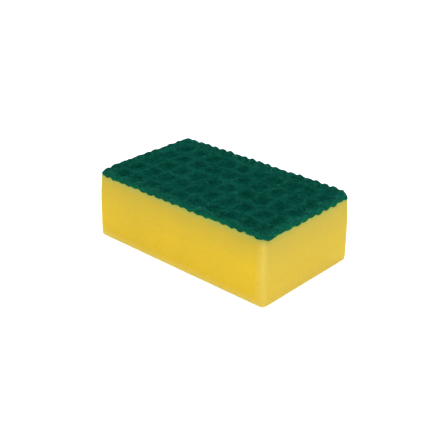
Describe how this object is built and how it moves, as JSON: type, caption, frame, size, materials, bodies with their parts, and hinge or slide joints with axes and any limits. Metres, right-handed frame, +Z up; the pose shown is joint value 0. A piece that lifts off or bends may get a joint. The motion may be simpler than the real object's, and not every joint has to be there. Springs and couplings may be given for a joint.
{
  "type": "cleaning sponge",
  "caption": "Rectangular block of yellow foam with a green scouring pad bonded to its top. The pad is pressed into a waffle of square pockets.",
  "frame": {"origin": "middle of the flat underside, on the surface that the sponge rests on", "axes": "+X along the long side, to the right when the long side faces the viewer; +Y across the width, away from the viewer; +Z up, from the foam to the pad"},
  "size_m": [0.11, 0.0654, 0.0364],
  "materials": {
    "foam": "matt, fine open-cell foam, dyed yellow",
    "pad": "matt non-woven mat of dark green abrasive fibre"
  },
  "bodies": {
    "root": {"foam_block": "foam", "scouring_pad": "pad"}
  },
  "joints": []
}
